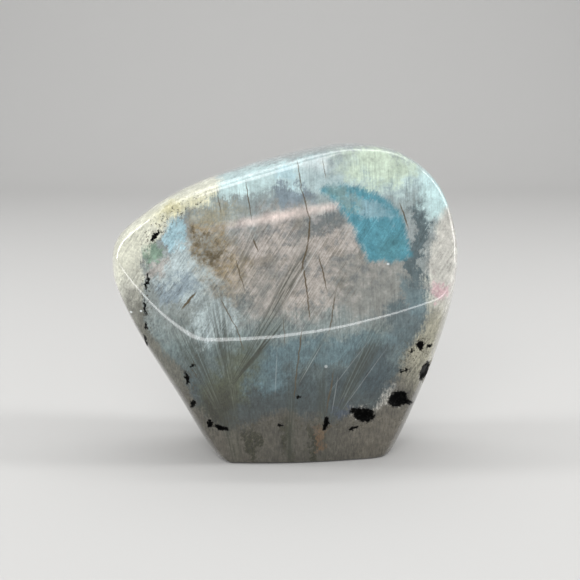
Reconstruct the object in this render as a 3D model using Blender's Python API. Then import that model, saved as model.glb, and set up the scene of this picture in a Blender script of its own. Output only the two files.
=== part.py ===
# Labradorite freeform: one polished stone, ground by hand and standing on a flat sawn base.
# Metres, +Z up. The main polished face looks along -Y and leans back, and +X is its right side.
# The origin is on the table, under the middle of the stone's bounding box.

import math

import bmesh
import bpy
import numpy as np
from mathutils import Matrix, Vector, noise

MM = 0.001

# The outline at the stone's widest section, as (x, z) in millimetres, clockwise from the blunt nose.
# The points below zero lie under the saw cut, where the flanks would have met.
OUTLINE = (
    (-51.9, 59.0),
    (-50.4, 66.8),
    (-43.8, 73.2),
    (-31.1, 81.2),
    (-12.0, 88.3),
    (8.0, 93.4),
    (21.0, 94.8),
    (34.2, 92.4),
    (45.3, 83.4),
    (51.0, 69.0),
    (51.4, 54.0),
    (47.6, 36.5),
    (41.2, 18.0),
    (32.8, 0.0),
    (22.0, -8.5),
    (4.0, -10.0),
    (-12.0, -8.0),
    (-22.4, 0.8),
    (-32.8, 19.1),
    (-44.2, 38.5),
    (-50.2, 51.5),
)
OUTLINE_CENTRE = (2.0, 46.0)

FRONT_BULGE = 25.0 * MM
BACK_BULGE = 23.5 * MM
ROUNDNESS = 2.6  # exponent of the section from front to back: 2 is an ellipse, more is squarer
WIDEST_AT = 2.0 * MM  # how far back the widest section lies, halfway up
LEAN = 0.03  # how far the widest section moves back for each metre up

# The ground faces. Each has a point on the face and its outward direction, given as the turn to the right
# of straight ahead and the tilt upwards, in degrees. "crown" is the radius that the face still bulges
# with, across and upwards, and "edge" is the width over which it rounds into its neighbours.
GROUND_FACES = {
    "main face": dict(at=(-2.0, -17.0, 48.0), turn=0, tilt=10.8, crown=(200, 500), edge=1.6),
    "lower front": dict(at=(-10.0, -12.6, 0.0), turn=-1, tilt=-10.6, crown=(160, 500), edge=1.2),
    "left flank": dict(at=(-32.0, -13.5, 28.0), turn=-23.5, tilt=-9, crown=(80, 700), edge=1.6),
    "right flank": dict(at=(38.0, -6.0, 14.0), turn=56, tilt=-19, crown=(50, 300), edge=2.2),
    "back": dict(at=(2.0, 21.5, 44.0), turn=177, tilt=3, crown=(150, 260), edge=4.0),
    "upper back": dict(at=(10.0, 19.0, 78.0), turn=186, tilt=24, crown=(150, 160), edge=5.0),
    "lower back": dict(at=(4.0, 13.5, 0.0), turn=180, tilt=-13, crown=(130, 300), edge=5.0),
}
BASE_EDGE = 0.9 * MM  # radius of the edge round the sawn base

# Shallow natural pits left by dark grains: where each lies seen from the front, as (x, z) from the
# origin, its size across and up, and its depth.
PITS = {
    "rim pit": dict(at=(40.6, 27.6), size=(4.6, 7.0), depth=0.7),
    "flank pit": dict(at=(33.8, 18.6), size=(6.4, 5.6), depth=0.8),
    "base pit": dict(at=(23.6, 14.0), size=(7.4, 5.0), depth=0.7),
}

PIT_OVERSIZE = 1.15  # a pit's cutter is this much wider than the pit, because it stands out of the stone

RINGS = 44
SEGMENTS = 96
SMOOTH_BELOW = math.radians(40)  # edges sharper than this are shaded sharp
OUTLINE_STEPS = 12  # points along each span of the outline
BASE_EDGE_LOOPS = (1.0, 0.5, 0.15, 0.0)  # heights of the loops round the base, as shares of its edge
SHORTEST_BASE_EDGE = 0.12 * MM
WAVE_HEIGHT = 0.35 * MM
WAVE_LENGTH = 34.0 * MM


def closed_outline(points, centre):
    """Angle and radius of a smooth closed curve through the points, as two arrays ready for np.interp."""
    steps = np.linspace(0.0, 1.0, OUTLINE_STEPS, endpoint=False)[:, None]
    points = np.array(points, float)
    before, after, beyond = (np.roll(points, shift, axis=0) for shift in (1, -1, -2))
    curve = []
    for p0, p1, p2, p3 in zip(before, points, after, beyond):
        curve.append(
            0.5
            * (
                2 * p1
                + (p2 - p0) * steps
                + (2 * p0 - 5 * p1 + 4 * p2 - p3) * steps**2
                + (3 * p1 - p0 - 3 * p2 + p3) * steps**3
            )
        )
    offsets = np.concatenate(curve) - np.array(centre)
    angles = np.arctan2(offsets[:, 1], offsets[:, 0])
    order = np.argsort(angles)
    return angles[order], np.hypot(offsets[:, 0], offsets[:, 1])[order] * MM


def face_axes(turn, tilt):
    """Outward, sideways and upward directions of a ground face."""
    turn, tilt = math.radians(turn), math.radians(tilt)
    outward = np.array(
        (math.sin(turn) * math.cos(tilt), -math.cos(turn) * math.cos(tilt), math.sin(tilt))
    )
    sideways = np.array((math.cos(turn), math.sin(turn), 0.0))
    return outward, sideways, np.cross(outward, sideways)


def grind(points, at, turn, tilt, crown, edge):
    """Presses what stands proud of a ground face back onto it, with a softly rounded edge."""
    outward, sideways, upward = face_axes(turn, tilt)
    offsets = points - np.array(at) * MM
    proud = offsets @ outward
    proud = proud + (offsets @ sideways) ** 2 / (2 * crown[0] * MM)
    proud = proud + (offsets @ upward) ** 2 / (2 * crown[1] * MM)
    edge = edge * MM
    near = np.clip(1 - np.abs(proud) / edge, 0, 1)
    pressed = np.maximum(proud, 0) + edge * near**3 / 6
    return points - pressed[:, None] * outward


def stone_surface(directions):
    """The stone's surface point in each direction of a unit ball whose poles face front and back."""
    angle = np.arctan2(directions[:, 2], directions[:, 0])
    reach = np.clip(np.hypot(directions[:, 0], directions[:, 2]), 0, 1) ** (2 / ROUNDNESS)
    depth = np.clip(np.abs(directions[:, 1]), 0, 1) ** (2 / ROUNDNESS)
    angles, radii = closed_outline(OUTLINE, OUTLINE_CENTRE)
    radius = np.interp(angle, angles, radii, period=2 * math.pi) * reach
    x = OUTLINE_CENTRE[0] * MM + radius * np.cos(angle)
    z = OUTLINE_CENTRE[1] * MM + radius * np.sin(angle)
    bulge = np.where(directions[:, 1] < 0, -FRONT_BULGE, BACK_BULGE)
    y = WIDEST_AT + bulge * depth + LEAN * (z - OUTLINE_CENTRE[1] * MM)
    points = np.stack((x, y, z), axis=1)
    waves = np.array([noise.noise(Vector(p) / WAVE_LENGTH) for p in points])
    points = points + directions * (waves * WAVE_HEIGHT)[:, None]
    for face in GROUND_FACES.values():
        points = grind(points, **face)
    return points


def add_material(obj, name, colour, roughness):
    """Gives the object one Principled BSDF."""
    material = bpy.data.materials.new(name)
    material.use_nodes = True
    shader = material.node_tree.nodes["Principled BSDF"]
    shader.inputs["Base Color"].default_value = (*colour, 1.0)
    shader.inputs["Roughness"].default_value = roughness
    shader.inputs["Metallic"].default_value = 0.0
    obj.data.materials.append(material)


def saw_flat_base(ball):
    """Cuts the stone off level at the table and rounds the edge of the cut."""
    for share in BASE_EDGE_LOOPS:
        bmesh.ops.bisect_plane(
            ball,
            geom=ball.verts[:] + ball.edges[:] + ball.faces[:],
            plane_co=(0, 0, share * BASE_EDGE),
            plane_no=(0, 0, -1),
            clear_outer=share == 0,
        )
    low = [v for v in ball.verts if v.co.z <= BASE_EDGE * 1.01]
    bmesh.ops.remove_doubles(ball, verts=low, dist=SHORTEST_BASE_EDGE)
    ball.normal_update()
    for vertex in ball.verts:
        drop = BASE_EDGE - vertex.co.z
        if drop > 0:
            inward = Vector((-vertex.normal.x, -vertex.normal.y, 0)).normalized()
            vertex.co += inward * (BASE_EDGE - math.sqrt(max(BASE_EDGE**2 - drop**2, 0)))
    bmesh.ops.edgeloop_fill(ball, edges=[e for e in ball.edges if e.is_boundary])
    bmesh.ops.recalc_face_normals(ball, faces=ball.faces)


def centre_over_origin(ball):
    """Slides the stone over the table until the middle of its bounding box is above the origin."""
    places = np.array([v.co for v in ball.verts])
    middle = (places.min(axis=0) + places.max(axis=0)) / 2
    bmesh.ops.translate(ball, verts=ball.verts, vec=(-middle[0], -middle[1], 0))


def add_stone(collection):
    """The whole stone, from a ball whose rings run round the outline."""
    mesh = bpy.data.meshes.new("stone")
    ball = bmesh.new()
    to_front = Matrix.Rotation(math.radians(90), 4, "X")
    bmesh.ops.create_uvsphere(ball, u_segments=SEGMENTS, v_segments=RINGS, radius=1, matrix=to_front)
    directions = np.array([v.co for v in ball.verts])
    for vertex, place in zip(ball.verts, stone_surface(directions)):
        vertex.co = place
    saw_flat_base(ball)
    centre_over_origin(ball)
    ball.to_mesh(mesh)
    ball.free()
    mesh.shade_smooth()
    mesh.set_sharp_from_angle(angle=SMOOTH_BELOW)
    stone = bpy.data.objects.new("stone", mesh)
    collection.objects.link(stone)
    add_material(stone, "labradorite", (0.17, 0.24, 0.26), 0.12)
    return stone


def add_pit_cutter(stone, name, at, size, depth, collection):
    """A flattened ball that bites the pit's depth out of the front of the stone."""
    start = Vector((at[0] * MM, -4 * FRONT_BULGE, at[1] * MM))
    hit, place, normal, _ = stone.ray_cast(start, Vector((0, 1, 0)))
    if not hit:
        raise ValueError(f"{name} misses the stone")
    half = Vector((size[0] / 2, size[1] / 2)) * MM
    # The ball is twice as deep as the pit, and its middle lies on the surface moved out by the pit's depth.
    turn = normal.to_track_quat("Z", "Y").to_matrix().to_4x4()
    shape = Matrix.Diagonal((half.x * PIT_OVERSIZE, half.y * PIT_OVERSIZE, depth * 2 * MM, 1))
    mesh = bpy.data.meshes.new(name)
    ball = bmesh.new()
    bmesh.ops.create_icosphere(ball, subdivisions=2, radius=1, matrix=turn @ shape)
    ball.to_mesh(mesh)
    ball.free()
    cutter = bpy.data.objects.new(name, mesh)
    cutter.location = place + normal * depth * MM
    cutter.hide_render = True
    cutter.display_type = "WIRE"
    collection.objects.link(cutter)
    bite = stone.modifiers.new(name, "BOOLEAN")
    bite.operation = "DIFFERENCE"
    bite.object = cutter
    return cutter


def main():
    for obj in list(bpy.data.objects):
        bpy.data.objects.remove(obj)
    parts = bpy.data.collections.new("labradorite freeform")
    cutters = bpy.data.collections.new("cutters")
    bpy.context.scene.collection.children.link(parts)
    bpy.context.scene.collection.children.link(cutters)
    stone = add_stone(parts)
    bpy.context.view_layer.update()
    for name, pit in PITS.items():
        add_pit_cutter(stone, name, collection=cutters, **pit)


main()
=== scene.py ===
import math
from types import SimpleNamespace

import bmesh
import bpy
import numpy as np
from mathutils import Matrix, Vector, noise
from mathutils.bvhtree import BVHTree


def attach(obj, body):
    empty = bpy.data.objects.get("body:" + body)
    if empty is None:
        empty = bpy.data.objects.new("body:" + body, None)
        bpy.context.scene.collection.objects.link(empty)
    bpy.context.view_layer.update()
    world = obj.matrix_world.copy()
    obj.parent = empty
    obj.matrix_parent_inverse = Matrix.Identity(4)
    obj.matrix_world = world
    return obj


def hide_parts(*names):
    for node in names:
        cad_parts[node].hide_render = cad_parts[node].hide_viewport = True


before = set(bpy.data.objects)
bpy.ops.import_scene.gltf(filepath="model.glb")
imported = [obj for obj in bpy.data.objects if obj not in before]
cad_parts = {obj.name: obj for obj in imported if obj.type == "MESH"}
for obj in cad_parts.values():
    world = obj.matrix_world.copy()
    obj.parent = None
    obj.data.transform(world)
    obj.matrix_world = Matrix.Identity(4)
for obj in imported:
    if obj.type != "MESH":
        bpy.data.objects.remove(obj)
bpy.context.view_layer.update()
mm = 0.001
print("frame loaded:", sorted(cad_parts))

# The photograph's view. Places on the stone's front are given by its pixels, and the camera says where
# each one lies on the stone.
photoView = {
    "imageSide": 580,
    "distance": 300 * mm,
    "elevation": math.radians(14),
    "fieldAtAim": 175.7 * mm,
    "aim": Vector((1.5, -1.0, 51.2)) * mm,
    "sensor": 36.0,
    "missNearer": 10 * mm,  # a ray past the stone's edge stops this much nearer than the aim
}
pixel = photoView["fieldAtAim"] / photoView["imageSide"] / mm  # millimetres a pixel at the stone


def viewAxes():
    tilt = photoView["elevation"]
    forward = Vector((0, math.cos(tilt), -math.sin(tilt)))
    up = Vector((0, math.sin(tilt), math.cos(tilt)))
    return Vector((1, 0, 0)), forward, up


def makeCamera():
    across, forward, up = viewAxes()
    data = bpy.data.cameras.new("photoCamera")
    data.sensor_width = photoView["sensor"]
    data.lens = photoView["sensor"] * photoView["distance"] / photoView["fieldAtAim"]
    data.clip_start = 0.01
    camera = bpy.data.objects.new("photoCamera", data)
    camera.location = photoView["aim"] - forward * photoView["distance"]
    camera.rotation_euler = Matrix((across, up, -forward)).transposed().to_euler()
    bpy.context.scene.collection.objects.link(camera)
    bpy.context.scene.camera = camera
    return camera


# The face frame, in millimetres, lies as the photograph looks: X across, Y into it and Z up it.
def toFace(places):
    return places @ np.array(viewAxes()).T


def makeSpotFinder():
    across, forward, up = viewAxes()
    tree = BVHTree.FromObject(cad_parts["stone"], bpy.context.evaluated_depsgraph_get())
    eye = photoView["aim"] - forward * photoView["distance"]
    half = photoView["imageSide"] / 2
    reach = photoView["fieldAtAim"] / 2 / photoView["distance"]

    def spot(x, y):
        ray = forward + (across * (x - half) + up * (half - y)) * (reach / half)
        hit = tree.ray_cast(eye, ray.normalized())[0]
        if hit is None:
            hit = eye + ray * (photoView["distance"] - photoView["missNearer"])
        return toFace(np.array(hit) / mm)

    return spot


# The stone, in millimetres, on a much finer mesh than the solid's. The sizes are the same, but for a
# crisper edge on the lower front.
stoneShape = {
    "outline": [
        (-51.9, 59.0), (-50.4, 66.8), (-43.8, 73.2), (-31.1, 81.2), (-12.0, 88.3), (8.0, 93.4),
        (21.0, 94.8), (34.2, 92.4), (45.3, 83.4), (51.0, 69.0), (51.4, 54.0), (47.6, 36.5),
        (41.2, 18.0), (32.8, 0.0), (22.0, -8.5), (4.0, -10.0), (-12.0, -8.0), (-22.4, 0.8),
        (-32.8, 19.1), (-44.2, 38.5), (-50.2, 51.5),
    ],
    "outlineSteps": 12,  # points along each span of the outline
    "outlineCentre": (2.0, 46.0),
    "frontBulge": 25.0,
    "backBulge": 23.5,
    "roundness": 2.6,  # exponent of the section from front to back
    "widestAt": 2.0,
    "lean": 0.03,
    "waveHeight": 0.35,
    "waveLength": 34.0,
    "baseEdge": 0.9,
    "baseLoops": (1.0, 0.75, 0.5, 0.3, 0.15, 0.05, 0.0),
    "rings": 240,
    "segments": 400,
    "typicalRadius": 48.0,  # spreads the rings evenly from the middle of the front to the back
    "ringSamples": 2001,
    "mergeBelow": 0.05,  # shortest edge that is left round the base
    "stillBelow": 3.0,  # the polish and the pits fade out below this height
    "smoothBelow": 60,  # degrees: edges sharper than this are shaded sharp
}

# Ground faces: a point on each, its turn to the right and tilt upwards in degrees, the radii it still
# bulges with across and upwards, and the width over which it rounds into its neighbours.
groundFaces = {
    "mainFace": dict(at=(-2.0, -17.0, 48.0), turn=0, tilt=10.8, crown=(200, 500), edge=1.6),
    "lowerFront": dict(at=(-10.0, -12.6, 0.0), turn=-1, tilt=-10.6, crown=(160, 500), edge=0.8),
    "leftFlank": dict(at=(-32.0, -13.5, 28.0), turn=-23.5, tilt=-9, crown=(80, 700), edge=1.6),
    "rightFlank": dict(at=(38.0, -6.0, 14.0), turn=56, tilt=-19, crown=(50, 300), edge=2.2),
    "back": dict(at=(2.0, 21.5, 44.0), turn=177, tilt=3, crown=(150, 260), edge=4.0),
    "upperBack": dict(at=(10.0, 19.0, 78.0), turn=186, tilt=24, crown=(150, 160), edge=5.0),
    "lowerBack": dict(at=(4.0, 13.5, 0.0), turn=180, tilt=-13, crown=(130, 300), edge=5.0),
}

handPolish = {"longWave": 22.0, "longHeight": 0.05, "shortWave": 7.0, "shortHeight": 0.012}

# Pits left by dark grains: pixel, size in pixels across and up, turn in degrees and depth in millimetres.
grainPits = {
    "rimPit": dict(at=(425, 371), size=(11, 21), turn=-22, depth=0.7),
    "flankPit": dict(at=(398, 399), size=(20, 17), turn=20, depth=0.8),
    "basePit": dict(at=(364, 415), size=(22, 15), turn=-10, depth=0.7),
    "slotPit": dict(at=(326, 424), size=(5, 13), turn=-12, depth=0.35),
    "leftSlot": dict(at=(221, 428), size=(15, 5), turn=-18, depth=0.35),
    "leftNick": dict(at=(193, 404), size=(5, 9), turn=-30, depth=0.3),
    "olivePit": dict(at=(420, 345), size=(8, 9), turn=0, depth=0.25),
}

# The pits' ragged rims. Distances are shares of a pit's half size, from its middle.
pitRims = {
    "raggedScale": 0.55,
    "ragged": 0.55,  # how far a rim strays
    "outer": 1.12,  # where the slope starts
    "slope": 0.5,
    "reach": 6,  # millimetres into the stone, past which a pit leaves no mark
}


def outlineRadius(angles):
    steps = np.linspace(0, 1, stoneShape["outlineSteps"], endpoint=False)[:, None]
    points = np.array(stoneShape["outline"], float)
    before, after, beyond = (np.roll(points, shift, axis=0) for shift in (1, -1, -2))
    curve = []
    for p0, p1, p2, p3 in zip(before, points, after, beyond):
        slope = (p2 - p0) * steps
        curl = (2 * p0 - 5 * p1 + 4 * p2 - p3) * steps**2 + (3 * p1 - p0 - 3 * p2 + p3) * steps**3
        curve.append((2 * p1 + slope + curl) / 2)
    offsets = np.concatenate(curve) - np.array(stoneShape["outlineCentre"])
    known = np.arctan2(offsets[:, 1], offsets[:, 0])
    order = np.argsort(known)
    radii = np.hypot(offsets[:, 0], offsets[:, 1])[order]
    return np.interp(angles, known[order], radii, period=2 * math.pi)


def evenRings(share):
    # turns a ring's share of the way from front to back into its angle on the rounded section
    angle = np.linspace(0, math.pi, stoneShape["ringSamples"])
    power = 2 / stoneShape["roundness"]
    out = np.sin(angle).clip(0, 1) ** power * stoneShape["typicalRadius"]
    bulge = np.where(angle < math.pi / 2, stoneShape["frontBulge"], stoneShape["backBulge"])
    deep = -np.sign(np.cos(angle)) * np.abs(np.cos(angle)) ** power * bulge
    length = np.concatenate(([0], np.cumsum(np.hypot(np.diff(out), np.diff(deep)))))
    return np.interp(share, length / length[-1], angle)


def grind(points, at, turn, tilt, crown, edge):
    turn, tilt = math.radians(turn), math.radians(tilt)
    level = np.array((math.sin(turn), -math.cos(turn), 0))
    outward = level * math.cos(tilt) + np.array((0, 0, math.sin(tilt)))
    sideways = np.array((math.cos(turn), math.sin(turn), 0))
    upward = np.cross(outward, sideways)
    offsets = points - np.array(at)
    proud = offsets @ outward
    proud += (offsets @ sideways) ** 2 / (2 * crown[0]) + (offsets @ upward) ** 2 / (2 * crown[1])
    near = np.clip(1 - np.abs(proud) / edge, 0, 1)
    return points - (np.maximum(proud, 0) + edge * near**3 / 6)[:, None] * outward


def waves(points, length):
    return np.array([noise.noise(Vector(p) / length) for p in points])


def stonePoints(directions):
    # the stone's points, in millimetres, from those of a ball whose poles face front and back
    bearing = np.arctan2(directions[:, 2], directions[:, 0])
    along = evenRings(np.arccos(np.clip(-directions[:, 1], -1, 1)) / math.pi)
    out = np.sin(along)
    power = 2 / stoneShape["roundness"]
    radius = outlineRadius(bearing) * out.clip(0, 1) ** power
    x = stoneShape["outlineCentre"][0] + radius * np.cos(bearing)
    z = stoneShape["outlineCentre"][1] + radius * np.sin(bearing)
    bulge = np.where(along < math.pi / 2, -stoneShape["frontBulge"], stoneShape["backBulge"])
    rise = z - stoneShape["outlineCentre"][1]
    y = stoneShape["widestAt"] + bulge * np.abs(np.cos(along)) ** power + stoneShape["lean"] * rise
    points = np.stack((x, y, z), axis=1)
    outward = np.stack((out * np.cos(bearing), -np.cos(along), out * np.sin(bearing)), axis=1)
    lift = waves(points, stoneShape["waveLength"]) * stoneShape["waveHeight"]
    points = points + outward * lift[:, None]
    for face in groundFaces.values():
        points = grind(points, **face)
    return points


def sawBase(ball):
    edge = stoneShape["baseEdge"] * mm
    for share in stoneShape["baseLoops"]:
        bmesh.ops.bisect_plane(
            ball, geom=ball.verts[:] + ball.edges[:] + ball.faces[:],
            plane_co=(0, 0, share * edge), plane_no=(0, 0, -1), clear_outer=share == 0,
        )
    low = [v for v in ball.verts if v.co.z <= edge * 1.01]  # with the highest loop
    bmesh.ops.remove_doubles(ball, verts=low, dist=stoneShape["mergeBelow"] * mm)
    ball.normal_update()
    for vertex in low:
        if not vertex.is_valid:
            continue
        drop = edge - vertex.co.z
        if drop > 0:
            inward = Vector((-vertex.normal.x, -vertex.normal.y, 0)).normalized()
            vertex.co += inward * (edge - math.sqrt(max(edge**2 - drop**2, 0)))
    rim = [e for e in ball.edges if e.is_boundary]
    bmesh.ops.edgeloop_fill(ball, edges=rim)


def centreOverOrigin(ball):
    places = np.array([v.co for v in ball.verts])
    middle = (places.min(axis=0) + places.max(axis=0)) / 2
    bmesh.ops.translate(ball, verts=ball.verts, vec=(-middle[0], -middle[1], 0))


def pitDepth(spotOf, face):
    # how deep the pits are at each point of the face frame, in millimetres
    total = np.zeros(len(face))
    ragged = np.array([noise.fractal(Vector(p) * pitRims["raggedScale"], 1.0, 2.0, 3) for p in face])
    for pit in grainPits.values():
        middle = spotOf(*pit["at"])
        turn = math.radians(pit["turn"])
        away = face - middle
        across = away[:, 0] * math.cos(turn) + away[:, 2] * math.sin(turn)
        upward = away[:, 2] * math.cos(turn) - away[:, 0] * math.sin(turn)
        half = np.array(pit["size"]) * pixel / 2
        far = np.sqrt((across / half[0]) ** 2 + (upward / half[1]) ** 2) + ragged * pitRims["ragged"]
        inside = np.clip(pitRims["outer"] - far, 0, pitRims["slope"]) / pitRims["slope"]
        deep = inside * inside * (3 - 2 * inside) * pit["depth"]
        total = np.maximum(total, np.where(np.abs(away[:, 1]) < pitRims["reach"], deep, 0))
    return total


def rolledBall():
    # a grid rolled into a ball whose poles face front and back, with its seam and poles closed
    ball = bmesh.new()
    counts = {"x_segments": stoneShape["segments"], "y_segments": stoneShape["rings"]}
    bmesh.ops.create_grid(ball, size=1, **counts)
    flat = np.array([v.co for v in ball.verts])
    bearing = flat[:, 0] * math.pi
    along = (flat[:, 1] + 1) * math.pi / 2
    out = np.sin(along)
    places = np.stack((out * np.cos(bearing), -np.cos(along), out * np.sin(bearing)), axis=1)
    for vertex, place in zip(ball.verts, places):
        vertex.co = place
    rim = [v for v in ball.verts if v.is_boundary]
    bmesh.ops.remove_doubles(ball, verts=rim, dist=1e-5)  # the ball's radius is 1
    bmesh.ops.recalc_face_normals(ball, faces=ball.faces)
    return ball


def makeStone(spotOf):
    ball = rolledBall()
    for vertex, place in zip(ball.verts, stonePoints(np.array([v.co for v in ball.verts]))):
        vertex.co = Vector(place) * mm
    sawBase(ball)
    centreOverOrigin(ball)
    bmesh.ops.recalc_face_normals(ball, faces=ball.faces)
    places = np.array([v.co for v in ball.verts]) / mm
    polish = waves(places, handPolish["longWave"]) * handPolish["longHeight"]
    polish += waves(places, handPolish["shortWave"]) * handPolish["shortHeight"]
    sunk = (pitDepth(spotOf, toFace(places)) - polish) * mm
    fade = np.clip(places[:, 2] / stoneShape["stillBelow"], 0, 1)  # nothing moves at the saw cut
    for vertex, depth in zip(ball.verts, sunk * fade):
        vertex.co -= vertex.normal * depth
    mesh = bpy.data.meshes.new("polishedStone")
    ball.to_mesh(mesh)
    ball.free()
    mesh.shade_smooth()
    mesh.set_sharp_from_angle(angle=math.radians(stoneShape["smoothBelow"]))
    stone = bpy.data.objects.new("polishedStone", mesh)
    bpy.context.scene.collection.objects.link(stone)
    return stone


# The flashing core reaches this line, which dark grains follow. Outside it the stone is a dull crust.
coreEdge = [
    (219, 130), (218, 188), (206, 205), (187, 208), (172, 216), (158, 233), (148, 246), (144, 262),
    (143, 290), (144, 314), (150, 338), (166, 352), (180, 366), (188, 380), (195, 403), (207, 421),
    (226, 431), (246, 428), (265, 417), (280, 408), (301, 418), (321, 416), (331, 424), (351, 410),
    (374, 411), (387, 392), (399, 372), (406, 353), (420, 335), (427, 313), (429, 285), (430, 255),
    (433, 232), (442, 215), (460, 200), (500, 120), (360, 80),
]


# The turquoise window, a flash with straight cleavage edges.
turquoise = {
    "line": [
        (318, 189), (337, 204), (352, 226), (368, 261), (392, 262), (412, 256), (402, 216), (385, 198),
        (366, 190), (342, 184),
    ],
    "strength": 0.94,
    "softness": 1.1,
    "colour": (0.085, 0.29, 0.36),
}

# Fans of fine parallel cracks: the pixel they spread from, the pixel at the middle of the far end, half
# angle in degrees, where they start as a share of the way, and how strong the lines are.
crackFans = [
    dict(root=(217, 408), tip=(307, 252), halfAngle=3.8, start=0.0, strength=0.7),
    dict(root=(221, 399), tip=(284, 318), halfAngle=5.0, start=0.0, strength=0.9),
    dict(root=(234, 440), tip=(180, 322), halfAngle=10, start=0.1, strength=0.55),
    dict(root=(240, 440), tip=(215, 292), halfAngle=7, start=0.1, strength=0.6),
    dict(root=(286, 560), tip=(292, 392), halfAngle=2.6, start=0.5, strength=0.7),
    dict(root=(250, 560), tip=(224, 396), halfAngle=4.5, start=0.5, strength=0.6),
    dict(root=(312, 470), tip=(380, 326), halfAngle=5.5, start=0.36, strength=0.6),
    dict(root=(284, 408), tip=(324, 338), halfAngle=3.0, start=0.2, strength=0.5),
    dict(root=(222, 300), tip=(262, 222), halfAngle=7.0, start=0.3, strength=0.35),
    dict(root=(330, 620), tip=(322, 372), halfAngle=1.8, start=0.6, strength=0.55),
]
fanEnds = {
    "fadeIn": 8,  # how steeply the lines come in and go out, along a fan
    "fadeOut": 3,
    "last": 1.12,  # where they have gone, as a share of the way
    "flank": 1.6,  # how steeply they go out at its sides
    "spread": 0.6,  # how far apart they lie
    "shift": 37.3,  # gives each fan lines of its own
}

# Behind the widest section the fans fade out and the window is pushed away, in millimetres.
backFade = {"start": 4, "width": 6, "push": 40}


def outlineDistance(spotOf, face, line):
    # millimetres outside a closed line on the front, negative inside
    line = np.array([spotOf(*p)[[0, 2]] for p in line])
    flat = face[:, [0, 2]]
    nearest = np.full(len(flat), 1e9)
    inside = np.zeros(len(flat), bool)
    for a, b in zip(line, np.roll(line, -1, axis=0)):
        side = b - a
        share = np.clip(((flat - a) @ side) / (side @ side), 0, 1)
        gap = flat - a - share[:, None] * side
        nearest = np.minimum(nearest, np.hypot(gap[:, 0], gap[:, 1]))
        spans = (a[1] > flat[:, 1]) != (b[1] > flat[:, 1])
        crossing = a[0] + (flat[:, 1] - a[1]) * side[0] / (side[1] if abs(side[1]) > 1e-9 else 1e-9)
        inside ^= spans & (flat[:, 0] < crossing)
    return np.where(inside, -nearest, nearest)


def fanField(spotOf, face):
    # for the strongest fan at each point: place across the fan, distance along it and strength
    field = np.zeros((len(face), 3))
    for number, fan in enumerate(crackFans):
        start, end = spotOf(*fan["root"])[[0, 2]], spotOf(*fan["tip"])[[0, 2]]
        middle = math.atan2(*(end - start))
        away = face[:, [0, 2]] - start
        bearing = (np.arctan2(away[:, 0], away[:, 1]) - middle + math.pi) % (2 * math.pi) - math.pi
        reach = np.hypot(*(end - start))
        share = np.hypot(away[:, 0], away[:, 1]) / reach
        wide = bearing / math.radians(fan["halfAngle"])
        ends = np.clip((share - fan["start"]) * fanEnds["fadeIn"], 0, 1)
        ends = ends * np.clip((fanEnds["last"] - share) * fanEnds["fadeOut"], 0, 1)
        sides = np.clip(fanEnds["flank"] - fanEnds["flank"] * np.abs(wide), 0, 1)
        strength = sides * ends * fan["strength"]
        spread = bearing * reach * fanEnds["spread"] + number * fanEnds["shift"]
        mine = np.stack((spread, share * reach, strength), axis=1)
        field = np.where((strength > field[:, 2])[:, None], mine, field)
    return field


def writeFields(stone, spotOf):
    places = np.empty(len(stone.data.vertices) * 3, np.float32)
    stone.data.vertices.foreach_get("co", places)
    places = places.reshape(-1, 3).astype(float) / mm
    face = toFace(places)
    behind = np.clip((places[:, 1] - backFade["start"]) / backFade["width"], 0, 1)
    numbers = {
        "crust": outlineDistance(spotOf, face, coreEdge),
        "window": outlineDistance(spotOf, face, turquoise["line"]) + behind * backFade["push"],
    }
    for name, distance in numbers.items():
        layer = stone.data.attributes.new(name, "FLOAT", "POINT")
        layer.data.foreach_set("value", distance.astype(np.float32))
    fans = fanField(spotOf, face)
    fans[:, 2] *= 1 - behind
    layer = stone.data.attributes.new("fan", "FLOAT_VECTOR", "POINT")
    layer.data.foreach_set("vector", fans.astype(np.float32).ravel())


zoneDepth = 30.0  # how far a zone reaches into the stone from its middle, in millimetres
zoneBlur = 1.35  # widens every zone's soft edge


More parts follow.
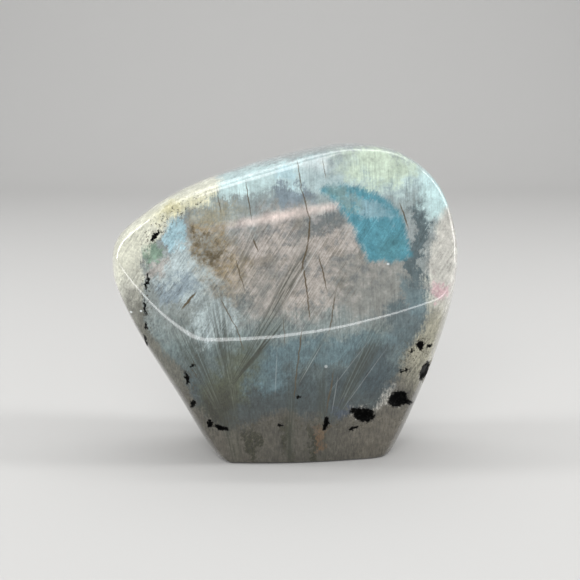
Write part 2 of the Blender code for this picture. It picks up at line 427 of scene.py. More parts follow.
# A shader socket that can be used in sums.
class Wire:
    def __init__(self, tree, socket):
        self.tree = tree
        self.socket = socket

    def make(self, kind, settings=None, inputs=None, output=0):
        node = self.tree.nodes.new(kind)
        for key, value in (settings or {}).items():
            if key == "stops":
                ramp = node.color_ramp
                for at, colour in value[1:-1]:
                    ramp.elements.new(at).color = (*colour, 1)
                for end in (0, -1):
                    ramp.elements[end].position = value[end][0]
                    ramp.elements[end].color = (*value[end][1], 1)
            else:
                setattr(node, key, value)
        for key, value in (inputs or {}).items():
            if isinstance(value, Wire):
                self.tree.links.new(value.socket, node.inputs[key])
            else:
                node.inputs[key].default_value = value
        return Wire(self.tree, node.outputs[output])

    def maths(self, operation, *values):
        return self.make("ShaderNodeMath", {"operation": operation}, dict(enumerate(values)))

    def vectors(self, operation, *values, output=0):
        sockets = dict(enumerate(values))
        if operation == "SCALE":
            sockets = {0: values[0], "Scale": values[1]}
        return self.make("ShaderNodeVectorMath", {"operation": operation}, sockets, output)

    def __add__(self, other):
        return self.maths("ADD", self, other)

    def __sub__(self, other):
        return self.maths("SUBTRACT", self, other)

    def __rsub__(self, other):
        return self.maths("SUBTRACT", other, self)

    def __mul__(self, other):
        return self.maths("MULTIPLY", self, other)

    __radd__ = __add__
    __rmul__ = __mul__

    def larger(self, other):
        return self.maths("MAXIMUM", self, other)

    def smaller(self, other):
        return self.maths("MINIMUM", self, other)

    # a soft-edged oval: the edge lies at the half sizes, and "soft" is its width as a share of them
    def oval(self, at, turn, halves, soft, most):
        outer = 1 + soft / 2
        place = self.placed(at, turn, (halves[0] * outer, zoneDepth, halves[1] * outer))
        settings = {"gradient_type": "SPHERICAL"}
        ball = place.make("ShaderNodeTexGradient", settings, {"Vector": place}, output=1)
        return ball.ease(0, soft / outer, most)

    # 0 on one side of a soft step and "most" on the other; low above high turns it round
    def ease(self, low, high, most=1.0):
        ends = (most, 0.0) if low > high else (0.0, most)
        settings = {"interpolation_type": "SMOOTHSTEP", "clamp": False}
        inputs = {
            "Value": self, "From Min": min(low, high), "From Max": max(low, high),
            "To Min": ends[0], "To Max": ends[1],
        }
        return self.make("ShaderNodeMapRange", settings, inputs)

    # this colour, with a tint laid over it where the mask is 1
    def over(self, mask, tint):
        tint = tint if isinstance(tint, Wire) else (*tint, 1)
        return self.make("ShaderNodeMix", {"data_type": "RGBA"}, {0: mask, 6: self, 7: tint}, output=2)

    # the same coordinates from a place, turned counter-clockwise as seen from the front
    def placed(self, at=(0, 0, 0), turn=0.0, size=(1, 1, 1)):
        inputs = {"Vector": self, "Location": at, "Rotation": (0, -math.radians(turn), 0), "Scale": size}
        return self.make("ShaderNodeMapping", {"vector_type": "TEXTURE"}, inputs)

    def grain(self, scale=1.0, detail=2.0, rough=0.5, output=0):
        inputs = {"Vector": self, "Scale": scale, "Detail": detail, "Roughness": rough}
        return self.make("ShaderNodeTexNoise", None, inputs, output)

    def streaks(self, turn, width, length, detail=3.0, rough=0.6):
        return self.placed(turn=turn, size=(width, 2 * width, length)).grain(1.0, detail, rough)

    # moved in the direction given, by as many millimetres as "far"
    def moved(self, direction, far):
        step = self.vectors("SCALE", direction, far)
        return self.vectors("ADD", self, step)

    # moved every way by a noise, by up to about "far" millimetres
    def frayed(self, scale, detail, rough, far):
        colour = self.grain(scale, detail, rough, output=1)
        middle = self.vectors("SUBTRACT", colour, (0.5, 0.5, 0.5))
        return self.vectors("MULTIPLY_ADD", middle, (far,) * 3, self)


# The stone's tints, which the zones below name.
tints = {
    "iceBlue": (0.50, 0.65, 0.65),
    "paleCyan": (0.55, 0.75, 0.75),
    "skyBlue": (0.33, 0.50, 0.56),
    "mint": (0.55, 0.65, 0.50),
    "lilacGrey": (0.45, 0.53, 0.54),
    "blueSlate": (0.16, 0.21, 0.25),
    "slate": (0.06, 0.09, 0.10),
    "teal": (0.09, 0.15, 0.17),
    "deepTeal": (0.03, 0.05, 0.06),
    "violet": (0.05, 0.07, 0.10),
    "seaGreen": (0.18, 0.28, 0.20),
    "moss": (0.09, 0.10, 0.05),
    "darkMoss": (0.02, 0.02, 0.01),
    "roseGrey": (0.40, 0.35, 0.31),
    "warmGrey": (0.23, 0.23, 0.21),
    "sand": (0.34, 0.32, 0.22),
    "bronze": (0.28, 0.22, 0.13),
    "umber": (0.08, 0.06, 0.03),
    "hazyTurquoise": (0.30, 0.45, 0.50),
    "dullTurquoise": (0.20, 0.30, 0.28),
    "deepTurquoise": (0.09, 0.24, 0.27),
    "ivory": (0.60, 0.60, 0.50),
    "straw": (0.66, 0.64, 0.44),
    "oliveGold": (0.48, 0.45, 0.28),
    "stoneGrey": (0.38, 0.38, 0.33),
    "oyster": (0.47, 0.46, 0.42),
    "buff": (0.26, 0.25, 0.19),
    "drab": (0.10, 0.10, 0.08),
    "brownGrey": (0.10, 0.09, 0.07),
    "soot": (0.03, 0.03, 0.015),
    "pink": (0.55, 0.32, 0.36),
    "rust": (0.15, 0.07, 0.02),
    "shellPink": (0.74, 0.63, 0.58),
    "dustyTurquoise": (0.16, 0.30, 0.33),
    "paleTurquoise": (0.30, 0.42, 0.42),
    "petrol": (0.13, 0.27, 0.32),
    "sage": (0.10, 0.12, 0.11),
    "tan": (0.24, 0.20, 0.14),
    "sepia": (0.07, 0.055, 0.03),
}

# Colours of the core down the main face, by pixel row. They mix the core's own colours with painted light
# and shade: paler at the top as painted light and reflected haze, where the face tips up to the overhead
# light, and much darker below the lower front's crease as painted shade, where the stone turns down away
# from the light.
coreTintAndShade = [
    (150, (0.30, 0.34, 0.34)),
    (166, (0.34, 0.42, 0.43)),
    (182, (0.38, 0.49, 0.50)),
    (196, (0.27, 0.33, 0.33)),
    (224, (0.25, 0.28, 0.28)),
    (312, (0.22, 0.25, 0.24)),
    (342, (0.135, 0.18, 0.18)),
    (385, (0.045, 0.066, 0.070)),
    (445, (0.05, 0.052, 0.045)),
]
middleColumn = 290  # the pixel column that rows are read at

# Colour zones of the core, each over the last: pixel of the middle, half sizes in pixels, turn in
# degrees, tint, softness of the edge as a share of the size, and strength at most.
colourZones = {
    "topCyan": dict(at=(262, 178), size=(46, 13), turn=16, tint="iceBlue", soft=0.6, most=0.8),
    "topBlueLeft": dict(at=(230, 192), size=(13, 9), turn=12, tint="iceBlue", soft=0.7, most=0.8),
    "topBlueMiddle": dict(at=(286, 172), size=(11, 7), turn=10, tint="skyBlue", soft=0.8, most=0.6),
    "topGreen": dict(at=(378, 166), size=(38, 17), turn=-6, tint="mint", soft=0.6, most=0.75),
    "topSlate": dict(at=(290, 198), size=(18, 15), turn=12, tint="blueSlate", soft=0.5, most=0.8),
    "greyMiddle": dict(at=(300, 262), size=(78, 46), turn=10, tint="roseGrey", soft=0.45, most=0.75),
    "greyRight": dict(at=(375, 280), size=(45, 34), turn=0, tint="warmGrey", soft=0.4, most=0.85),
    "darkSlant": dict(at=(322, 224), size=(26, 11), turn=18, tint="slate", soft=0.7, most=0.7),
    "rightSlate": dict(at=(419, 250), size=(8, 48), turn=4, tint="slate", soft=0.5, most=0.85),
    "rightLowSlate": dict(at=(405, 330), size=(22, 26), turn=40, tint="slate", soft=0.6, most=0.8),
    "leftBlue": dict(at=(175, 233), size=(11, 12), turn=0, tint="skyBlue", soft=0.45, most=0.9),
    "leftLilac": dict(at=(186, 270), size=(26, 28), turn=50, tint="lilacGrey", soft=0.5, most=0.85),
    "leftDeepBlue": dict(at=(180, 288), size=(22, 9), turn=35, tint="blueSlate", soft=0.7, most=0.7),
    "lowCyan": dict(at=(212, 318), size=(20, 18), turn=50, tint="lilacGrey", soft=0.6, most=0.75),
    "greenTinge": dict(at=(149, 250), size=(7, 14), turn=-20, tint="seaGreen", soft=0.6, most=0.8),
    "blueEye": dict(at=(240, 304), size=(8, 8), turn=0, tint="slate", soft=0.7, most=0.7),
    "lowTeal": dict(at=(325, 350), size=(66, 14), turn=8, tint="teal", soft=0.6, most=0.8),
    "lowBlueLeft": dict(at=(264, 372), size=(20, 22), turn=0, tint="teal", soft=0.6, most=0.8),
    "lowBlueRight": dict(at=(372, 372), size=(26, 24), turn=30, tint="deepTeal", soft=0.6, most=0.75),
    "lowViolet": dict(at=(345, 410), size=(10, 8), turn=0, tint="violet", soft=0.6, most=0.8),
    "fanOlive": dict(at=(228, 382), size=(20, 36), turn=-28, tint="moss", soft=0.8, most=0.75),
    "fanRoot": dict(at=(221, 408), size=(17, 22), turn=-10, tint="darkMoss", soft=1.0, most=0.9),
    "rimCyan": dict(at=(433, 197), size=(13, 27), turn=24, tint="paleCyan", soft=1.3, most=0.75),
    "leftRose": dict(at=(158, 268), size=(8, 12), turn=-20, tint="roseGrey", soft=0.8, most=0.6),
    "blueRight": dict(at=(412, 300), size=(10, 24), turn=24, tint="teal", soft=0.7, most=0.7),
}

# Brown stains, patchy and streaked.
stains = {
    "brownTop": dict(at=(207, 234), size=(15, 22), turn=8, tint="bronze", soft=0.9, most=0.95),
    "brownLow": dict(at=(227, 268), size=(19, 26), turn=30, tint="bronze", soft=1.0, most=0.85),
    "brownHigh": dict(at=(217, 214), size=(20, 9), turn=-8, tint="sand", soft=1.2, most=0.7),
    "brownHeart": dict(at=(214, 253), size=(13, 7), turn=-25, tint="umber", soft=1.2, most=0.95),
    "brownFleck": dict(at=(199, 233), size=(4, 8), turn=20, tint="umber", soft=1.0, most=0.8),
    "brownSlant": dict(at=(305, 236), size=(9, 34), turn=-8, tint="warmGrey", soft=1.2, most=0.45),
    "greyCloud": dict(at=(262, 288), size=(26, 18), turn=30, tint="warmGrey", soft=1.2, most=0.7),
}
seams = {
    "pinkSeam": dict(at=(286, 215), size=(54, 3.8), turn=10.5, tint="shellPink", soft=1.5, most=0.9),
}

# Tints inside the turquoise window: a streaked haze at its top and a deeper heart.
windowZones = {
    "haze": dict(at=(368, 204), size=(22, 9), turn=-14, tint="hazyTurquoise", soft=0.9, most=0.8),
    "olive": dict(at=(343, 196), size=(17, 10), turn=-20, tint="dullTurquoise", soft=0.9, most=0.7),
    "heart": dict(at=(390, 246), size=(14, 17), turn=0, tint="deepTurquoise", soft=0.9, most=0.6),
}

# The crust outside the core, by place: ivory at the nose, beige at the right, brown-grey at the base.
crustBase = (0.075, 0.07, 0.055)
crustUpper = (0.52, 0.53, 0.46)
crustRise = (30, 52)  # millimetres up, between which the base's tint gives way to the upper one
crustZones = {
    "nose": dict(at=(140, 236), size=(58, 62), turn=30, tint="ivory", soft=0.7, most=1.0),
    "yellowRim": dict(at=(186, 204), size=(34, 13), turn=22, tint="straw", soft=0.8, most=0.85),
    "topWhite": dict(at=(206, 183), size=(30, 11), turn=22, tint="ivory", soft=1.0, most=0.8),
    "noseLow": dict(at=(134, 296), size=(15, 30), turn=-22, tint="stoneGrey", soft=1.0, most=0.8),
    "rimCyanOuter": dict(at=(438, 206), size=(12, 22), turn=20, tint="paleCyan", soft=1.4, most=0.7),
    "oliveStain": dict(at=(174, 208), size=(13, 5), turn=25, tint="oliveGold", soft=0.9, most=0.8),
    "leftFlank": dict(at=(160, 345), size=(30, 50), turn=30, tint="drab", soft=0.7, most=1.0),
    "rightRim": dict(at=(446, 250), size=(20, 70), turn=0, tint="oyster", soft=0.7, most=1.0),
    "rightFlank": dict(at=(432, 345), size=(26, 40), turn=-20, tint="buff", soft=0.8, most=1.0),
    "lowCream": dict(at=(375, 400), size=(22, 9), turn=20, tint="oyster", soft=0.8, most=0.7),
    "pinkFleck": dict(at=(437, 290), size=(11, 7), turn=8, tint="pink", soft=0.9, most=0.65),
    "baseRight": dict(at=(382, 434), size=(34, 26), turn=10, tint="brownGrey", soft=0.9, most=1.0),
    "baseLeft": dict(at=(236, 444), size=(24, 20), turn=0, tint="brownGrey", soft=0.9, most=0.8),
    "baseBand": dict(at=(286, 438), size=(5, 26), turn=2, tint="soot", soft=0.9, most=1.0),
    "baseBandLeft": dict(at=(252, 446), size=(4, 18), turn=4, tint="soot", soft=0.9, most=1.0),
    "baseBandRight": dict(at=(312, 444), size=(4, 20), turn=-3, tint="soot", soft=0.9, most=1.0),
    "orangeStain": dict(at=(322, 437), size=(6, 8), turn=-15, tint="rust", soft=0.9, most=0.6),
}

# Healed cracks, stained brown: first and last pixel, width in millimetres and strength.
brownCracks = [
    dict(root=(297, 160), tip=(302, 192), width=0.19, strength=0.75),
    dict(root=(301, 186), tip=(310, 222), width=0.22, strength=0.75),
    dict(root=(310, 216), tip=(308, 246), width=0.25, strength=0.85),
    dict(root=(309, 240), tip=(301, 272), width=0.25, strength=0.85),
    dict(root=(303, 266), tip=(308, 296), width=0.25, strength=0.9),
    dict(root=(307, 290), tip=(310, 320), width=0.21, strength=0.8),
    dict(root=(246, 182), tip=(251, 219), width=0.17, strength=0.8),
    dict(root=(217, 189), tip=(221, 214), width=0.15, strength=0.6),
    dict(root=(322, 158), tip=(326, 178), width=0.16, strength=0.6),
    dict(root=(319, 256), tip=(327, 290), width=0.21, strength=0.85),
    dict(root=(336, 292), tip=(329, 334), width=0.19, strength=0.75),
    dict(root=(283, 317), tip=(285, 346), width=0.16, strength=0.6),
    dict(root=(302, 330), tip=(297, 366), width=0.22, strength=0.85),
    dict(root=(298, 360), tip=(294, 398), width=0.20, strength=0.8),
    dict(root=(235, 258), tip=(245, 292), width=0.20, strength=0.7),
    dict(root=(220, 298), tip=(238, 332), width=0.20, strength=0.75),
    dict(root=(236, 326), tip=(244, 350), width=0.19, strength=0.75),
    dict(root=(400, 203), tip=(408, 228), width=0.22, strength=0.85),
    dict(root=(334, 372), tip=(326, 412), width=0.26, strength=0.7),
    dict(root=(182, 309), tip=(196, 292), width=0.37, strength=0.95),
    dict(root=(253, 239), tip=(258, 251), width=0.28, strength=0.9),
]
crackTint = (0.085, 0.062, 0.032)
crackSoftness = 0.6  # of the cracks', scratches' and painted glints' edges, as a share of the width

# Pale scratches, and tiny white dots that are painted glints in small pits.
paleScratchesAndGlints = [
    dict(root=(300, 382), tip=(322, 344), width=0.13, strength=0.22),
    dict(root=(345, 406), tip=(386, 349), width=0.12, strength=0.18),
    dict(root=(330, 391), tip=(371, 338), width=0.12, strength=0.16),
    dict(root=(338, 376), tip=(332, 412), width=0.15, strength=0.18),
    dict(root=(277, 352), tip=(275, 396), width=0.13, strength=0.22),
    dict(root=(286, 300), tip=(322, 240), width=0.11, strength=0.28),
    dict(root=(326, 365), tip=(326, 368), width=0.45, strength=0.5),
    dict(root=(131, 311), tip=(131, 313), width=0.45, strength=0.9),
    dict(root=(141, 310), tip=(141, 312), width=0.40, strength=0.9),
    dict(root=(388, 263), tip=(388, 265), width=0.40, strength=0.9),
]
# the tint of the pale scratches and of the painted glints
scratchAndGlintTint = (0.62, 0.66, 0.66)
fanTint = {"body": (0.085, 0.095, 0.068), "dark": (0.020, 0.023, 0.012), "pale": (0.24, 0.27, 0.23)}
# The lines of the fans: a noise drawn out along them, and where it turns dark and pale.
fanLines = {
    "stretch": (1.9, 0.05, 0),
    "noise": dict(scale=1.0, detail=1.5, rough=0.7),
    "dark": (0.46, 0.53),
    "pale": (0.45, 0.36),
    "paleAbove": (-2, 6),  # millimetres from the lower of the slanted rows
    "palest": 0.4,
    "body": 0.4,
}

# Dark grains along the core's edge: pixel, half sizes in pixels and turn in degrees.
blackGrains = [
    dict(at=(398, 399), size=(10.5, 8.5), turn=20),
    dict(at=(408, 402), size=(6, 2.5), turn=-15),
    dict(at=(425, 371), size=(5.5, 10.5), turn=-22),
    dict(at=(364, 415), size=(11, 7.5), turn=-10),
    dict(at=(354, 410), size=(5, 2.5), turn=5),
    dict(at=(353, 428), size=(5, 2), turn=20),
    dict(at=(326, 424), size=(2.6, 7), turn=-12),
    dict(at=(420, 345), size=(4, 5), turn=0),
    dict(at=(412, 351), size=(2, 2), turn=0),
    dict(at=(430, 346), size=(2.5, 1.5), turn=20),
    dict(at=(404, 371), size=(4.5, 1.6), turn=12),
    dict(at=(221, 428), size=(8, 2.4), turn=-18),
    dict(at=(210, 424), size=(3, 4), turn=0),
    dict(at=(193, 404), size=(2.4, 4.5), turn=-30),
    dict(at=(187, 378), size=(2.4, 7), turn=8),
    dict(at=(192, 366), size=(3.5, 1.2), turn=25),
    dict(at=(298, 397), size=(2.4, 2.6), turn=0),
    dict(at=(155, 236), size=(2.2, 6.5), turn=-35),
    dict(at=(280, 425), size=(2.6, 2), turn=0),
    dict(at=(146, 341), size=(1.6, 6), turn=4),
    dict(at=(147, 282), size=(1.5, 9), turn=-8),
    dict(at=(145, 308), size=(1.3, 8), turn=4),
    dict(at=(146, 326), size=(1.4, 4), turn=0),
]

grainEdge = dict(soft=0.2, most=1.0)
grainTint = (0.003, 0.003, 0.003)
# painted highlights: a grey glint laid on the dark grains where a noise is high
grainGlint = (0.03, 0.03, 0.029)
glintLevels = (0.52, 0.66, 0.5)

# Where the crust is peppered with small dark grains.
speckledPlaces = [
    dict(at=(157, 229), size=(12, 22), turn=-38),
    dict(at=(186, 206), size=(26, 8), turn=24),
    dict(at=(146, 296), size=(5, 50), turn=2),
    dict(at=(190, 386), size=(6, 34), turn=-16),
    dict(at=(416, 350), size=(20, 14), turn=30),
    dict(at=(300, 424), size=(90, 8), turn=0),
]
speckEdge = dict(soft=0.9, most=1.0)
speckNoise = dict(scale=1.1, detail=3.0, rough=0.75)
speckLevels = (0.555, 0.62, 0.9)
speckTint = (0.045, 0.04, 0.02)

# The hidden back, in millimetres of the face frame: dull flashes, stains and hairline cracks.
backZones = {
    "dullFlash": dict(at=(-14, 24, 58), size=(20, 12), turn=20, tint="dustyTurquoise", soft=0.8, most=0.7),
    "paleFlash": dict(at=(20, 24, 66), size=(12, 9), turn=-15, tint="paleTurquoise", soft=0.9, most=0.6),
    "brownStain": dict(at=(8, 24, 40), size=(16, 7), turn=35, tint="tan", soft=1.0, most=0.7),
    "greyStain": dict(at=(-20, 22, 34), size=(9, 14), turn=10, tint="sage", soft=1.0, most=0.6),
    "smallFlash": dict(at=(26, 24, 40), size=(8, 5), turn=0, tint="petrol", soft=0.7, most=0.7),
    "longCrack": dict(at=(2, 26, 56), size=(0.35, 17), turn=14, tint="sepia", soft=0.8, most=0.8),
    "lowCrack": dict(at=(-8, 26, 42), size=(0.30, 12), turn=22, tint="sepia", soft=0.8, most=0.8),
    "sideCrack": dict(at=(22, 24, 52), size=(0.30, 11), turn=30, tint="sepia", soft=0.8, most=0.7),
}


def zoneMask(place, spotOf, zone):
    halves = [n * pixel for n in zone["size"]]
    return place.oval(spotOf(*zone["at"]), zone["turn"], halves, zone["soft"] * zoneBlur, zone["most"])


def paintZones(colour, place, spotOf, zones):
    for zone in zones.values():
        colour = colour.over(zoneMask(place, spotOf, zone), tints[zone["tint"]])
    return colour


def crackMask(place, spotOf, line):
    start, end = spotOf(*line["root"]), spotOf(*line["tip"])
    middle, along = (start + end) / 2, end - start
    turn = -math.degrees(math.atan2(along[0], along[2]))
    half = math.hypot(along[0], along[2]) / 2
    return place.oval(middle, turn, (line["width"], half), crackSoftness, line["strength"])


# Each mask joins the others as soon as it is made, because a renderer holds few values at once.
def largest(makeMask, items):
    whole = makeMask(items[0])
    for item in items[1:]:
        whole = whole.larger(makeMask(item))
    return whole


# The textures of the face frame: noises, whose scale is per millimetre, and fibres, with their turn from
# upright in degrees and their width and length in millimetres.
noises = {
    "fleck": dict(scale=1.5, detail=4.0, rough=0.7),
    "mottle": dict(scale=0.35, detail=3.0, rough=0.6),
    "blotch": dict(scale=0.13, detail=4.0, rough=0.65),
}
fibreSets = {
    "upright": dict(turn=3, width=0.5, length=10, detail=4.0, rough=0.72),
    "slanted": dict(turn=-33, width=0.5, length=11, detail=4.0, rough=0.75),
    "steep": dict(turn=-52, width=0.5, length=7, detail=3.0, rough=0.7),
}
# How far the edges of the zones, the cracks and the grains stray, in millimetres.
frays = {
    "zones": dict(scale=0.10, detail=6.0, rough=0.78, far=22.0),
    "cracks": dict(scale=0.45, detail=3.0, rough=0.6, far=1.0),
    "grains": dict(scale=0.8, detail=4.0, rough=0.75, far=3.4),
}
# The zones' edges also follow the fibres: the direction and how far.
alongFibres = {"slanted": ((0.5, 0, 0.8), 6.0), "upright": ((0, 0, 1), 5.5)}

# How raggedly the window and the core end: the millimetres that each texture shifts their edges by.
raggedEdges = {
    "window": {"fleck": 1.6, "mottle": 3.0, "slanted": 3.5},
    "crust": {"blotch": 9.0, "fleck": 3.0, "upright": 5.0},
}
crustSoftness = 1.5

# How the fibres and flecks lighten and darken the stone. The blends are in millimetres from the rows.
slantedRows = (222, 412)  # the fibres slant between these pixel rows
fibreLook = {
    "topBlend": (-4, 5),
    "lowBlend": (3, -3),
    "streaksAbove": (-20, -32),  # upright streaks near the top
    "streaks": 1.6,
    "patches": (0.36, 0.62, 1.6),
    "least": 0.5,
    "fibres": 0.95,
    "flecks": 1.1,
    "calmer": 0.4,  # how much weaker both are where the fibres are upright
}

# Areas where the fibres or the mottling differ: pixel of the middle, and half sizes in millimetres.
coreAreas = {
    "uprightRight": dict(at=(386, 286), turn=20, halves=(52 * pixel, 34 * pixel), soft=1.0, most=0.8),
    "steepLeft": dict(at=(192, 268), turn=50, halves=(16, 12), soft=0.8, most=0.6),
    "patchyMiddle": dict(at=(300, 262), turn=6, halves=(86 * pixel, 52 * pixel), soft=0.6, most=1.0),
}
middlePatches = {
    "pale": {"between": (0.50, 0.66), "most": 0.28, "tint": (0.42, 0.37, 0.35)},
    "blue": {"between": (0.50, 0.36), "most": 0.38, "tint": (0.17, 0.20, 0.215)},
    "brown": {"between": (0.24, 0.17), "most": 0.5, "tint": (0.13, 0.115, 0.085)},
}
stainBreaks = {"mottle": (0.60, 0.42), "fleck": (0.40, 0.60), "most": 0.42, "least": 0.25}

# The polish: the shader's constants, and the amounts of what varies.
polishConstants = {"Coat Roughness": 0.055, "Specular IOR Level": 0.4, "Coat IOR": 1.56, "IOR": 1.36}
polish = {
    "roughness": 0.26,
    "mottling": 0.16,
    "grainRoughness": 0.55,
    "sawnRoughness": 0.7,  # the sawn base isn't polished
    "sawnEdge": (0.35, 0.15),  # heights between which the polish ends, in millimetres
    "crackDulling": 0.5,
    "flashMetal": 0.25,
    "fleckRelief": 0.12,
    "grainRelief": 0.8,
    "bumpStrength": 0.35,
    "bumpDistance": 0.15 * mm,
}


def areaMask(place, spotOf, area):
    return place.oval(**{**area, "at": spotOf(*area["at"])})


def makeSkin(tree, spotOf):
    # the places, fields and textures that the whole material shares
    skin = SimpleNamespace(spotOf=spotOf)
    skin.object = Wire(tree, tree.nodes.new("ShaderNodeTexCoord").outputs["Object"])
    facing = {"Vector": skin.object, "Rotation": (photoView["elevation"], 0, 0), "Scale": (1 / mm,) * 3}
    skin.face = skin.object.make("ShaderNodeMapping", {"vector_type": "POINT"}, facing)
    skin.crust = skin.face.make("ShaderNodeAttribute", {"attribute_name": "crust"}, None, output=2)
    skin.window = skin.face.make("ShaderNodeAttribute", {"attribute_name": "window"}, None, output=2)
    skin.fan = skin.face.make("ShaderNodeAttribute", {"attribute_name": "fan"}, None, output=1)
    for name, sizes in noises.items():
        setattr(skin, name, skin.face.grain(**sizes))
    for name, sizes in fibreSets.items():
        setattr(skin, name, skin.face.streaks(**sizes))
    skin.place = skin.face.frayed(**frays["zones"])
    for name, (direction, far) in alongFibres.items():
        skin.place = skin.place.moved(direction, (getattr(skin, name) - 0.5) * far)
    skin.straight = skin.face.frayed(**frays["cracks"])
    skin.topLine, skin.lowLine = (spotOf(middleColumn, row)[2] for row in slantedRows)
    skin.rise = skin.face.vectors("DOT_PRODUCT", skin.face, (0, 0, 1), output=1)
    return skin


def fibreLight(skin):
    # what the fibres and flecks multiply the colours by
    look = fibreLook
    topArea = skin.rise.ease(*(skin.topLine + step for step in look["topBlend"]))
    uprightArea = topArea.larger(skin.rise.ease(*(skin.lowLine + step for step in look["lowBlend"])))
    uprightArea = uprightArea.larger(areaMask(skin.face, skin.spotOf, coreAreas["uprightRight"]))
    fibres = skin.slanted * (1 - uprightArea) + skin.upright * uprightArea
    fibres = fibres + (skin.steep - 0.5) * areaMask(skin.place, skin.spotOf, coreAreas["steepLeft"])
    patchy = skin.blotch.ease(*look["patches"]) + look["least"]
    light = 1 + (fibres - 0.5) * patchy * (look["fibres"] - uprightArea * look["calmer"])
    light = light + (skin.fleck - 0.5) * (look["flecks"] - uprightArea * look["calmer"])
    light = light + (skin.mottle - 0.5)
    streaked = (skin.topLine + step for step in look["streaksAbove"])
    return light + (skin.upright - 0.5) * skin.rise.ease(*streaked, look["streaks"])


def coreColour(skin):
    # the rows' colours, with their painted light at the top and painted shade low down
    heights = [skin.spotOf(middleColumn, row)[2] for row, tint in coreTintAndShade]
    top, span = heights[0], heights[-1] - heights[0]
    stops = [((height - top) / span, tint) for height, (row, tint) in zip(heights, coreTintAndShade)]
    drop = skin.place.vectors("DOT_PRODUCT", skin.place, (0, 0, 1 / span), output=1) - top / span
    colour = drop.make("ShaderNodeValToRGB", {"stops": stops}, {0: drop})
    colour = paintZones(colour, skin.place, skin.spotOf, colourZones)
    middle = areaMask(skin.place, skin.spotOf, coreAreas["patchyMiddle"])
    for name, patch in middlePatches.items():
        texture = skin.slanted * skin.blotch if name == "brown" else skin.mottle
        colour = colour.over(middle * texture.ease(*patch["between"], patch["most"]), patch["tint"])
    colour = paintZones(colour, skin.straight, skin.spotOf, seams)
    broken = skin.mottle.ease(*stainBreaks["mottle"]) + skin.fleck.ease(*stainBreaks["fleck"])
    broken = broken * stainBreaks["most"] + stainBreaks["least"]
    for stain in stains.values():
        mask = broken * zoneMask(skin.place, skin.spotOf, stain)
        colour = colour.over(mask, tints[stain["tint"]])
    return colour


def raggedEdge(skin, name):
    # the distance past an edge, in millimetres, which the textures make uneven
    distance = getattr(skin, name)
    for texture, far in raggedEdges[name].items():
        distance = distance + (getattr(skin, texture) - 0.5) * far
    return distance


def addFlash(skin, colour):
    # the turquoise window, with its ragged edge
    flash = colour.over(turquoise["strength"], turquoise["colour"])
    flash = paintZones(flash, skin.place, skin.spotOf, windowZones)
    soft = turquoise["softness"]
    shown = raggedEdge(skin, "window").ease(soft, -soft)
    return colour.over(shown, flash), shown


def addCrust(skin, colour):
    # the dull crust outside the core, and what the back has of its own
    dull = colour.over(1.0, crustBase).over(skin.rise.ease(*crustRise), crustUpper)
    dull = paintZones(dull, skin.place, skin.spotOf, crustZones)
    for zone in backZones.values():
        mask = skin.place.oval(zone["at"], zone["turn"], zone["size"], zone["soft"], zone["most"])
        colour = colour.over(mask, tints[zone["tint"]])
    outside = raggedEdge(skin, "crust").ease(-crustSoftness, crustSoftness)
    return colour.over(outside, dull), outside


def addCracks(skin, colour):
    # the fans of fine cracks, the brown healed cracks, the pale scratches and the painted glints
    lines = skin.fan.vectors("MULTIPLY", skin.fan, fanLines["stretch"]).grain(**fanLines["noise"])
    weight = skin.fan.vectors("DOT_PRODUCT", skin.fan, (0, 0, 1), output=1)
    weight = weight * (skin.mottle + 0.4).smaller(1.0)
    darkLines = lines.ease(*fanLines["dark"]) * weight
    paleBand = (skin.lowLine + step for step in fanLines["paleAbove"])
    paleLines = lines.ease(*fanLines["pale"]) * weight * skin.rise.ease(*paleBand, fanLines["palest"])
    colour = colour.over(weight * fanLines["body"], fanTint["body"])
    colour = colour.over(paleLines, fanTint["pale"]).over(darkLines, fanTint["dark"])
    cracks = largest(lambda line: crackMask(skin.straight, skin.spotOf, line), brownCracks)
    colour = colour.over(cracks, crackTint)
    # pale scratches, and white dots painted as glints in small pits
    scratchesAndGlints = largest(lambda line: crackMask(skin.face, skin.spotOf, line), paleScratchesAndGlints)
    return colour.over(scratchesAndGlints, scratchAndGlintTint), cracks


def addGrains(skin, colour):
    # the pepper specks and the dark grains, with a painted glint on the grains
    peppered = largest(lambda spot: zoneMask(skin.face, skin.spotOf, {**spot, **speckEdge}), speckledPlaces)
    specks = skin.face.grain(**speckNoise).ease(*speckLevels) * peppered
    colour = colour.over(specks, speckTint)
    jagged = skin.face.frayed(**frays["grains"])
    grains = largest(lambda grain: zoneMask(jagged, skin.spotOf, {**grain, **grainEdge}), blackGrains)
    colour = colour.over(grains, grainTint)
    return colour.over(grains * skin.fleck.ease(*glintLevels), grainGlint), grains


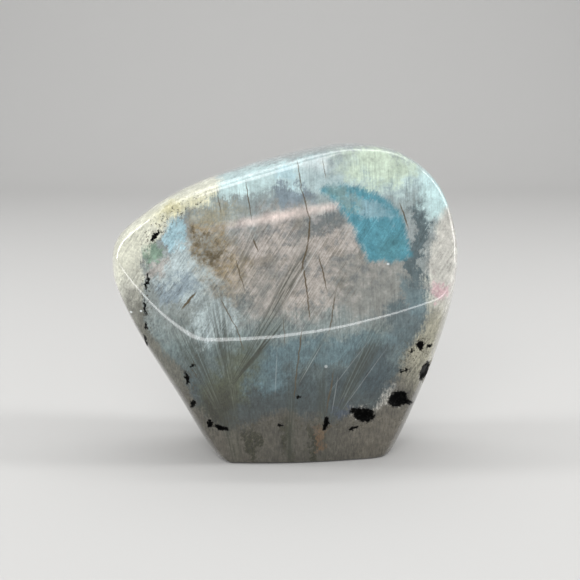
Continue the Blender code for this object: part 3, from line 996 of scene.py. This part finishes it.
def makeStoneMaterial(spotOf):
    material = bpy.data.materials.new("polishedLabradorite")
    material.use_nodes = True
    tree = material.node_tree
    skin = makeSkin(tree, spotOf)
    light = fibreLight(skin)
    colour, shown = addFlash(skin, coreColour(skin))
    colour, outside = addCrust(skin, colour)
    colour = colour.over(1.0, colour.vectors("SCALE", colour, light))
    colour, cracks = addCracks(skin, colour)
    colour, grains = addGrains(skin, colour)

    height = skin.object.vectors("DOT_PRODUCT", skin.object, (0, 0, 1 / mm), output=1)
    sawn = height.ease(*polish["sawnEdge"])
    roughness = polish["roughness"] + (skin.mottle - 0.5) * polish["mottling"]
    roughness = roughness.larger(grains * polish["grainRoughness"]).larger(sawn * polish["sawnRoughness"])
    coat = 1 - grains.larger(cracks * polish["crackDulling"]).larger(sawn)
    metal = (shown * (1 - outside) * polish["flashMetal"]).larger(grains)
    relief = (skin.fleck - 0.5) * polish["fleckRelief"] - grains * polish["grainRelief"]
    raised = {"Strength": polish["bumpStrength"], "Distance": polish["bumpDistance"], "Height": relief}
    bump = relief.make("ShaderNodeBump", None, raised)

    shader = tree.nodes["Principled BSDF"]
    feeds = {
        "Base Color": colour,
        "Roughness": roughness,
        "Coat Weight": coat,
        "Metallic": metal,
        "Normal": bump,
    }
    for name, wire in feeds.items():
        tree.links.new(wire.socket, shader.inputs[name])
    for name, value in polishConstants.items():
        shader.inputs[name].default_value = value
    return material


# Floor and light, in metres.
studio = {
    "floorColour": (0.50, 0.495, 0.485),
    "floorRoughness": 0.75,
    "floorShine": 0.2,
    "floorSide": 3.0,
    "backWallAt": 0.9,
    "bend": 0.35,
    "bendSteps": 24,
    "skyColour": (0.80, 0.82, 0.84),
    "skyStrength": 0.32,
}

# Area lights: place and target in metres, size across and up, watts.
lamps = {
    "overhead": dict(at=(0.0, 0.10, 0.95), to=(0, 0, 0.05), size=(1.5, 1.1), power=6.6),
    "crestStrip": dict(at=(0.0, 0.14, 0.80), to=(0, 0, 0.08), size=(0.9, 0.05), power=1.1),
    "frontHigh": dict(at=(-0.1, -0.75, 0.62), to=(0, 0, 0.05), size=(0.6, 0.35), power=3.0),
    "leftSide": dict(at=(-0.6, -0.02, 0.27), to=(0, 0, 0.05), size=(0.08, 0.5), power=2.4),
    "rightSide": dict(at=(0.6, -0.05, 0.27), to=(0, 0, 0.05), size=(0.08, 0.5), power=2.8),
    "lowStrip": dict(at=(0.0, -0.62, 0.042), to=(0, 0, 0.038), size=(2.2, 0.046), power=1.9),
}


def makeFloor():
    sheet = bmesh.new()
    half = studio["floorSide"] / 2
    bmesh.ops.create_grid(sheet, x_segments=1, y_segments=1, size=half)
    bmesh.ops.translate(sheet, verts=sheet.verts, vec=(0, studio["backWallAt"] - half, 0))
    rear = max(sheet.edges, key=lambda e: sum(v.co.y for v in e.verts))
    lifted = bmesh.ops.extrude_edge_only(sheet, edges=[rear])["geom"]
    raised = [v for v in lifted if isinstance(v, bmesh.types.BMVert)]
    bmesh.ops.translate(sheet, verts=raised, vec=(0, 0, half))
    bmesh.ops.bevel(
        sheet, geom=[rear], affect="EDGES", offset=studio["bend"], segments=studio["bendSteps"],
        profile=0.5, material=-1,
    )
    mesh = bpy.data.meshes.new("floor")
    sheet.to_mesh(mesh)
    sheet.free()
    mesh.shade_smooth()
    floor = bpy.data.objects.new("floor", mesh)
    bpy.context.scene.collection.objects.link(floor)
    material = bpy.data.materials.new("paleFloor")
    material.use_nodes = True
    shader = material.node_tree.nodes["Principled BSDF"]
    shader.inputs["Base Color"].default_value = (*studio["floorColour"], 1)
    shader.inputs["Roughness"].default_value = studio["floorRoughness"]
    shader.inputs["Specular IOR Level"].default_value = studio["floorShine"]
    mesh.materials.append(material)


def makeLights():
    for name, lamp in lamps.items():
        data = bpy.data.lights.new(name, "AREA")
        data.shape = "RECTANGLE"
        data.size, data.size_y = lamp["size"]
        data.energy = lamp["power"]
        light = bpy.data.objects.new(name, data)
        light.location = lamp["at"]
        aim = Vector(lamp["to"]) - Vector(lamp["at"])
        light.rotation_euler = aim.to_track_quat("-Z", "Y").to_euler()
        bpy.context.scene.collection.objects.link(light)
    world = bpy.data.worlds.new("studioAir")
    world.use_nodes = True
    air = world.node_tree.nodes["Background"]
    air.inputs["Color"].default_value = (*studio["skyColour"], 1)
    air.inputs["Strength"].default_value = studio["skyStrength"]
    bpy.context.scene.world = world
    bpy.context.scene.view_settings.view_transform = "Standard"


makeCamera()
spotOf = makeSpotFinder()
stone = makeStone(spotOf)
writeFields(stone, spotOf)
print("stone made:", len(stone.data.polygons), "faces")
stone.data.materials.append(makeStoneMaterial(spotOf))
print("stone finished:", len(stone.data.materials[0].node_tree.nodes), "nodes")
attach(stone, "root")
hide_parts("stone")
makeFloor()
makeLights()
print("studio made")
